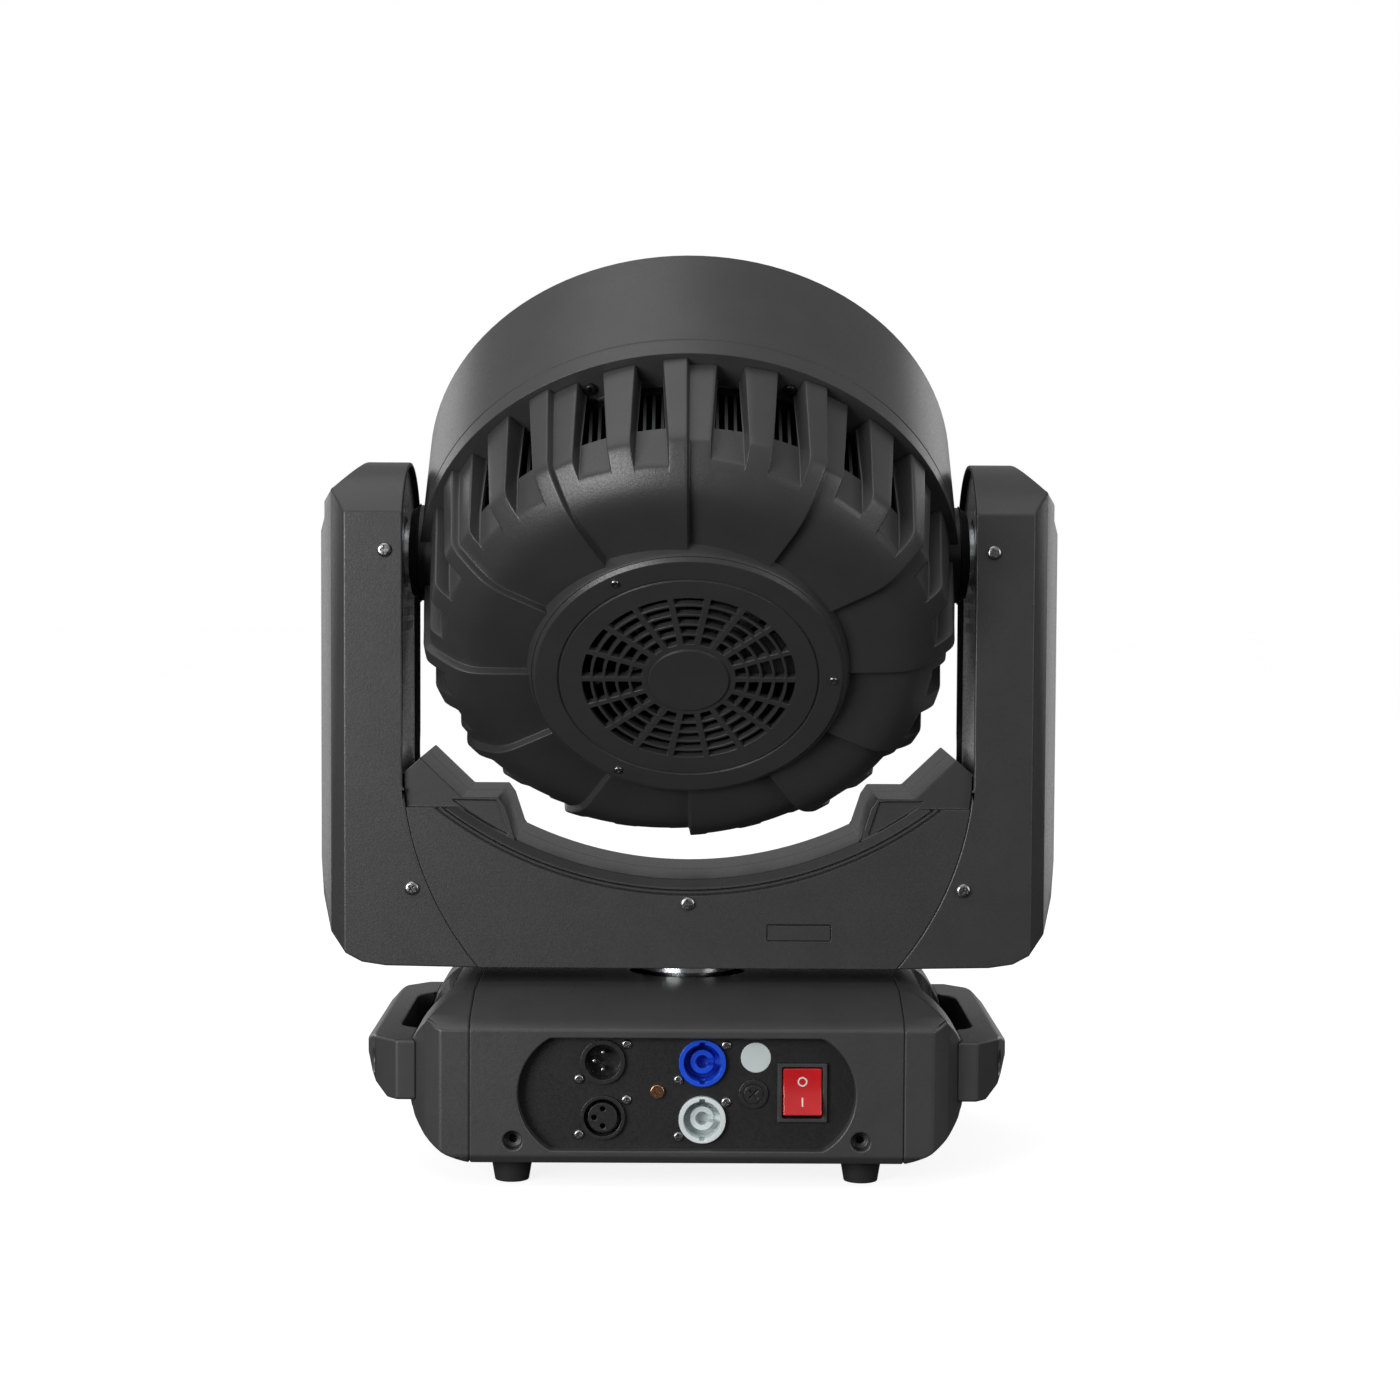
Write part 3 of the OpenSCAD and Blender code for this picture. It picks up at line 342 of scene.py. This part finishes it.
def facing_y(x, y, z, turn=0, rear=True):
    """Puts a head's top along -Y, or +Y on the front, turned about its own axis."""
    out = Matrix.Rotation(math.radians(90 if rear else -90), 4, "X")
    return Matrix.Translation((x * MM, y * MM, z * MM)) @ out @ Matrix.Rotation(math.radians(turn), 4, "Z")


YOKE_HALF_D = 53
ARM_SCREWS = [(160.5, 325.8), (146, 147)]
SADDLE_SCREW_Z = 139.5


def yoke_screws():
    template = cross_head("template", 3.8, 1.9, 1.3)
    places = []
    for rear in (True, False):
        y = -YOKE_HALF_D if rear else YOKE_HALF_D
        spots = [(side * x, z) for x, z in ARM_SCREWS for side in (-1, 1)] + [(0, SADDLE_SCREW_Z)]
        places += [facing_y(x, y, z, 23 * n, rear) for n, (x, z) in enumerate(spots)]
    screw_set("yoke_screw_heads", template, places, "yoke", "screw_steel", "yoke_screws")
    discard(template)


SOCKET_CENTRES = [(-43.1, 64.4), (-43.1, 35.7), (8, 64.1), (8, 34.8)]
SOCKET_SCREW = (12.2, 9)
PANEL_Y = -106
BODY_SCREW = (89, 25)
BODY_SCREW_SEAT = 102.5
HANDLE_SCREW = (152, 80, 60.2)


def base_screws():
    small = cross_head("small", 2.6, 1.5, 0.8)
    spots = [(x + side * SOCKET_SCREW[0], z + side * SOCKET_SCREW[1])
             for x, z in SOCKET_CENTRES for side in (-1, 1)]
    places = [facing_y(x, PANEL_Y, z, 31 * n) for n, (x, z) in enumerate(spots)]
    screw_set("socket_screw_heads", small, places, "base", "screw_steel", "base_screws")
    discard(small)
    large = cross_head("large", 4, 2.4, 1.2)
    places = []
    for side in (-1, 1):
        for rear in (True, False):
            y = -BODY_SCREW_SEAT if rear else BODY_SCREW_SEAT
            places.append(facing_y(side * BODY_SCREW[0], y, BODY_SCREW[1], 40 + 25 * side, rear))
    x, y, z = HANDLE_SCREW
    for side in (-1, 1):
        for end in (-1, 1):
            spot = Matrix.Translation((side * x * MM, end * y * MM, z * MM))
            places.append(spot @ Matrix.Rotation(math.radians(90 * side), 4, "Y"))
    screw_set("case_screw_heads", large, places, "base", "screw_black")
    discard(large)


# ---- Head ----

PETALS = 12
HOOD_END = 17           # distances behind the tilt axis are measured along the beam, backwards
OPENING_END = 59        # where the black openings between the ribs stop
PAD_END = 88.5
PETAL_DROP = 4.2        # each petal starts this much lower than the one before it ends
SHELL_WALL = 1.8
SHELL_PROFILE = [
    (83, 97.4), (92, 97.3), (101, 97.2), (108, 97), (113, 96.3), (117, 95), (120.5, 93.2), (123.5, 91.2),
    (126, 89.3), (128.2, 87.5), (130.2, 85.7), (132.2, 83.9), (134, 82.2), (135.8, 80.4), (137.3, 78.7),
    (138.5, 77), (139.3, 75), (139.8, 72), (140, 68), (140.3, 63), (140.5, OPENING_END), (141, 52),
    (141.6, 43), (142.1, 34), (142.6, 25), (142.9, 20), (143, HOOD_END),
]


def on_head(x, y, z):
    """A point in the head's own frame, in millimetres, as a point in the row frame in millimetres."""
    return tuple(c / MM for c in HEAD @ Vector((x * MM, y * MM, z * MM)))


def rib_halves(depth):
    """Half widths in degrees of the rib at a seam and of the middle rib: both narrow towards the rear."""
    share = min(max((depth - HOOD_END) / (77 - HOOD_END), 0), 1)
    return 5.7 - 1.2 * share, 3.6 - 1.0 * share


def petal_columns(depth):
    """Angles across one petal, each with how far it has sunk: 0 on a rib, 1 on a window's floor."""
    seam, middle = rib_halves(depth)
    edges = [seam, 15 - middle, 15 + middle, 30 - seam]
    columns = [(0, 0), (0.5, 0), (2.2, 0), (edges[0] - 0.9, 0)]
    into = [(-0.3, 0), (-0.1, 0.04), (0, 0.14), (0.12, 0.86), (0.25, 0.97), (0.5, 1)]
    out_of = [(-offset, sunk) for offset, sunk in reversed(into)]
    for falls, edge in zip((True, False, True, False), edges):
        for offset, sunk in into if falls else out_of:
            columns.append((edge + offset, sunk))
        if falls:
            gap = edges[edges.index(edge) + 1] - edge
            columns += [(edge + gap * share, 1) for share in (0.3, 0.5, 0.7)]
        elif edge < 15:
            columns += [(15 + middle * share, 0) for share in (-0.5, 0, 0.5)]
    columns += [(30 - seam + 1.2, 0), (27.6, 0), (28.7, 0), (29.2, 0)]
    return columns


SEAM_STEP = [(29.35, 0.03), (29.5, 0.16), (29.62, 0.5), (29.74, 0.84), (29.87, 0.97)]


def window_floor(depth):
    """Radius of the floor of a window, which slopes over the pads and is level over the openings."""
    if depth > OPENING_END - 1:
        return 128.4 + 2.4 * (PAD_END - depth) / (PAD_END - OPENING_END)
    return 130.8


def shell_point(row, angle, sunk, fallen, petal):
    """One point of the shell. Fallen is how far down the petal's end step it is, from 0 to 1."""
    (r, depth), (out_r, out_depth) = SHELL_PROFILE[row], SHELL_NORMALS[row]
    rise = min(angle / 29.2, 1)
    drop = PETAL_DROP * ((1 - rise) if fallen == 0 else fallen)
    r, depth = r - drop * out_r, depth - drop * out_depth
    if depth < PAD_END + 1:
        r += sunk * min(window_floor(depth) - r, 0)
    turn = math.radians(30 * petal + angle)
    return on_head(r * math.sin(turn), -r * math.cos(turn), -depth)


def profile_normals():
    normals = []
    for i in range(len(SHELL_PROFILE)):
        r0, d0 = SHELL_PROFILE[max(i - 1, 0)]
        r1, d1 = SHELL_PROFILE[min(i + 1, len(SHELL_PROFILE) - 1)]
        length = math.hypot(r1 - r0, d1 - d0)
        normals.append((-(d1 - d0) / length, (r1 - r0) / length))
    return normals


SHELL_NORMALS = profile_normals()


def head_shell():
    rows = range(len(SHELL_PROFILE))
    verts, count = [], 0
    for petal in range(PETALS):
        for row in rows:
            columns = [(a, s, 0) for a, s in petal_columns(SHELL_PROFILE[row][1])]
            columns += [(a, 0, f) for a, f in SEAM_STEP]
            count = len(columns)
            verts += [shell_point(row, a, s, f, petal) for a, s, f in columns]
    sunk = [s for _, s in petal_columns(0)] + [0] * len(SEAM_STEP)
    faces = []
    for petal in range(PETALS):
        for row in rows[:-1]:
            open_row = HOOD_END + 2 < SHELL_PROFILE[row][1] <= OPENING_END
            for i in range(count):
                last = i == count - 1
                if open_row and not last and sunk[i] == 1 and sunk[i + 1] == 1:
                    continue
                next_petal = (petal + 1) % PETALS if last else petal
                j = 0 if last else i + 1
                a = (petal * len(rows) + row) * count
                b = (next_petal * len(rows) + row) * count
                faces.append([a + i, b + j, b + count + j, a + count + i])
    shell = mesh_object("head_shell_petals", verts, faces)
    recalculate(shell)
    thick = shell.modifiers.new("wall", "SOLIDIFY")
    thick.thickness = SHELL_WALL * MM
    thick.offset = -1
    evaluate(shell)
    place(soften(shell, 0, angle=50), "head", "moulded_grey", "head_shell")


def in_head(thing):
    """Puts a piece drawn in the head's own frame into the row frame."""
    thing.data.transform(HEAD)
    return thing


def fan_grille():
    refined("fan_grille", 0.35, "fan_grille_disc")
    profile = [(78.5, -99), (81.9, -100.4), (83, -98.6), (84.6, -92), (82, -91), (78.5, -91)]
    wall = lathe("grille_side_wall", profile, 160)
    recalculate(wall)
    place(soften(in_head(wall), 0.25), "head", slot_of["fan_grille"])


FLANGE_SCREW_CIRCLE = 133.3
FLANGE_SCREW_SEAT = -16
GRILLE_SCREW_CIRCLE = 75
GRILLE_SCREW_SEAT = -102


def facing_back(radius, angle, seat):
    """Puts a head's top along the head's -Z, on a circle about the beam, at an angle in degrees."""
    turn = math.radians(angle)
    spot = Matrix.Translation((radius * MM * math.cos(turn), radius * MM * math.sin(turn), seat * MM))
    return HEAD @ spot @ Matrix.Rotation(math.pi, 4, "X")


def head_screws():
    flange = cross_head("flange", 3.2, 2.4, 1.0)
    places = [facing_back(FLANGE_SCREW_CIRCLE, 45 * n - 67.5, FLANGE_SCREW_SEAT) for n in range(8)]
    screw_set("flange_screw_heads", flange, places, "head", "screw_black", "head_screws")
    discard(flange)
    small = cross_head("grille", 2.3, 1.1, 0.7)
    places = [facing_back(GRILLE_SCREW_CIRCLE, angle, GRILLE_SCREW_SEAT) for angle in (0, 120, 240)]
    screw_set("grille_screw_heads", small, places, "head", "screw_steel")
    discard(small)


# ---- Yoke ----

SADDLE_CENTRE_Z = 363
SADDLE_GROOVES = [(216, 1.1, 0.9), (218.6, 0.7, 0.6)]      # radius, width and depth
EAR_SET_BACK = 4
POCKET_DEPTH = 1.4
POCKET_ARC_R = 210.5
POCKET_ARC = [math.radians(angle) for angle in (27, 29, 31, 33, 35, 36.5)]
POCKET = [(POCKET_ARC_R * math.sin(a), SADDLE_CENTRE_Z - POCKET_ARC_R * math.cos(a)) for a in POCKET_ARC]
POCKET += [(101.5, 193.5)]


def saddle_covers():
    for rear, node in ((True, "saddle_cover_rear"), (False, "saddle_cover_front")):
        cover = copy_of(node, node + "_finished")
        side = -1 if rear else 1
        for radius, width, depth in SADDLE_GROOVES:
            outer = radius + width
            groove = lathe("groove", [(radius, -depth), (outer, -depth), (outer, 2), (radius, 2)], 288)
            groove.data.transform(Matrix.Rotation(math.radians(90 if rear else -90), 4, "X"))
            boolean(cover, moved(groove, 0, side * YOKE_HALF_D, SADDLE_CENTRE_Z))
        for mirror in (-1, 1):
            outline = [(mirror * x, z) for x, z in POCKET]
            face_y = side * (YOKE_HALF_D - EAR_SET_BACK)
            ends = sorted((face_y - POCKET_DEPTH * side, face_y + 6 * side))
            boolean(cover, prism("pocket", outline, *ends))
        place(soften(cover, 0.6), "yoke", slot_of[node], node)


# ---- Rear panel ----


ROCKER_AXIS = (59.3, -104, 49)
ROCKER_LEAN = -8        # degrees at rest


def rocker():
    """The red rocker with its two marks: a ring above a bar."""
    refined("switch_rocker", 0.7, "rocker_key", segments=3)
    lean = Matrix.Rotation(math.radians(ROCKER_LEAN), 4, "X")
    seat = Matrix.Translation([c * MM for c in ROCKER_AXIS]) @ lean
    ring = lathe("ring", [(1.75, -0.2), (2.5, -0.2), (2.5, 0.12), (1.75, 0.12)], 48)
    ring.data.transform(Matrix.Rotation(math.radians(90), 4, "X"))
    bar = prism("bar", [(-0.4, -2.3), (0.4, -2.3), (0.4, 2.3), (-0.4, 2.3)], -0.12, 0.2)
    slope = math.atan2(2, 12)
    for mark, sign in ((ring, 1), (bar, -1)):
        mark.data.transform(Matrix.Rotation(sign * slope, 4, "X"))
        mark.data.transform(Matrix.Translation((0, -6.1 * MM, sign * 5.2 * MM)))
        mark.data.transform(seat)
    marks = joined("rocker_marks", [ring, bar])
    place(marks, "rocker", "rocker_red", surface=MARK_WHITE)


PIN_CIRCLE = 4.4
PIN_ROOT_Y = -96.7


def inlet_pins():
    """Bright tips over the three pins of the data inlet."""
    pins = []
    for turn in (90, 180, 270):
        tip = lathe("tip", [(0, 0), (1.25, 0), (1.25, 7.6), (0.8, 8.3), (0, 8.5)], 32)
        angle = math.radians(turn)
        spot = (SOCKET_CENTRES[0][0] + PIN_CIRCLE * math.cos(angle), PIN_ROOT_Y,
                SOCKET_CENTRES[0][1] + PIN_CIRCLE * math.sin(angle))
        pins.append(moved(turned_to_y(tip), *spot))
    place(soften(joined("inlet_pin_tips", pins), 0), "base", "machined_metal")


def sticker():
    label = turned_to_y(lathe("round_sticker", [(0, 0), (7.7, 0), (7.7, 0.12), (7.5, 0.18), (0, 0.18)], 64))
    recalculate(label)
    place(moved(label, 35.4, PANEL_Y, 66.8), "base", "panel_black", surface=PAPER)


# How far the edges of each CAD node are rounded
REFINED = {
    "base_cover": 1.0, "end_cap_left": 1.2, "end_cap_right": 1.2, "handle_left": 1.4,
    "handle_right": 1.4, "rubber_feet": 0.6, "connector_panel": 0, "data_inlet": 0.3,
    "data_outlet": 0.3, "power_inlet": 0.3, "power_outlet": 0.3, "fuse_holder": 0.4,
    "fuse_cap": 0.25, "switch_frame": 0.5, "earth_screw": 0.3, "display_panel": 0.3,
    "display_window": 0.3, "button_menu": 0.5, "button_down": 0.5, "button_up": 0.5,
    "button_enter": 0.5, "pan_hub": 0.4, "arm_cover_left": 1.0, "arm_cover_right": 1.0,
    "access_plate": 0.2, "arm_plates": 0.3, "tilt_bearings": 0.4, "trunnions": 0.8, "hood": 0.4,
    "lens_plate": 0.3, "base_plate": 0.3, "fan_frame": 0.4, "lenses": 0, "fan_rotor": 0.3,
}

head_shell()
fan_grille()
head_screws()
saddle_covers()
yoke_screws()
base_screws()
rocker()
inlet_pins()
sticker()
for node, width in REFINED.items():
    refined(node, width)
for node, thing in frame["nodes"].items():
    thing.data.materials.clear()
    thing.data.materials.append(MATERIALS[slot_of[node]])


# ---- Floor, light and camera ----


def floor():
    reach = 9000
    corners = [(-reach, -reach, 0), (reach, -reach, 0), (reach, reach, 0), (-reach, reach, 0)]
    plane = mesh_object("floor", corners, [[0, 1, 2, 3]])
    pale = material("pale_floor", (0.35, 0.35, 0.35), 0.9, depth=0.02, shade=0.01, Specular_IOR_Level=0.1,
                    Emission_Color=(1, 1, 1, 1), Emission_Strength=0.86)
    plane.data.materials.append(pale)
    plane.visible_diffuse = False
    plane.visible_glossy = False


def soft_light(name, place_at, aim, size, power):
    light = bpy.data.lights.new(name, "AREA")
    light.shape = "RECTANGLE"
    light.size, light.size_y = size
    light.energy = power
    lamp = bpy.data.objects.new(name, light)
    lamp.location = place_at
    lamp.visible_camera = False
    lamp.rotation_euler = (Vector(aim) - Vector(place_at)).to_track_quat("-Z", "Y").to_euler()
    bpy.context.scene.collection.objects.link(lamp)


def surroundings(seen, above, below):
    """A surround that is plain white to the camera and lights the object mostly from above."""
    world = bpy.data.worlds.new("studio")
    bpy.context.scene.world = world
    world.use_nodes = True
    nodes, link = world.node_tree.nodes, world.node_tree.links.new
    back = nodes["Background"]
    back.inputs["Color"].default_value = (1, 1, 1, 1)
    direction = nodes.new("ShaderNodeTexCoord").outputs["Generated"]
    split = nodes.new("ShaderNodeSeparateXYZ")
    link(direction, split.inputs["Vector"])
    fade = nodes.new("ShaderNodeMapRange")
    fade.inputs["From Min"].default_value = -0.05
    fade.inputs["From Max"].default_value = 0.15
    fade.inputs["To Min"].default_value = below
    fade.inputs["To Max"].default_value = above
    link(split.outputs["Z"], fade.inputs["Value"])
    choice = nodes.new("ShaderNodeMix")
    link(nodes.new("ShaderNodeLightPath").outputs["Is Camera Ray"], choice.inputs["Factor"])
    link(fade.outputs["Result"], choice.inputs["A"])
    choice.inputs["B"].default_value = seen
    link(choice.outputs["Result"], back.inputs["Strength"])


def camera():
    data = bpy.data.cameras.new("camera")
    data.sensor_width = 36
    data.lens = 75.5
    eye = bpy.data.objects.new("camera", data)
    eye.location = (0, -1.6, 0.334)
    eye.rotation_euler = (math.radians(90 - 3.2), math.radians(-0.3), math.radians(-0.205))
    bpy.context.scene.collection.objects.link(eye)
    bpy.context.scene.camera = eye


floor()
soft_light("key", (-1.1, -1.5, 0.45), (0, 0, 0.25), (1.0, 0.8), 24)
soft_light("top", (-0.5, -0.3, 2.2), (0, 0, 0.3), (2.6, 1.8), 14)
soft_light("right", (1.9, -1.4, 0.7), (0, 0, 0.3), (0.8, 1.2), 9)
soft_light("back right", (1.3, 1.7, 0.45), (0, 0, 0.25), (1.2, 1.2), 5)
soft_light("back left", (-1.3, 1.7, 0.45), (0, 0, 0.25), (1.2, 1.2), 5)
surroundings(seen=1.0, above=0.36, below=0.02)
camera()
bpy.context.scene.view_settings.view_transform = "Standard"

bpy.context.view_layer.update()
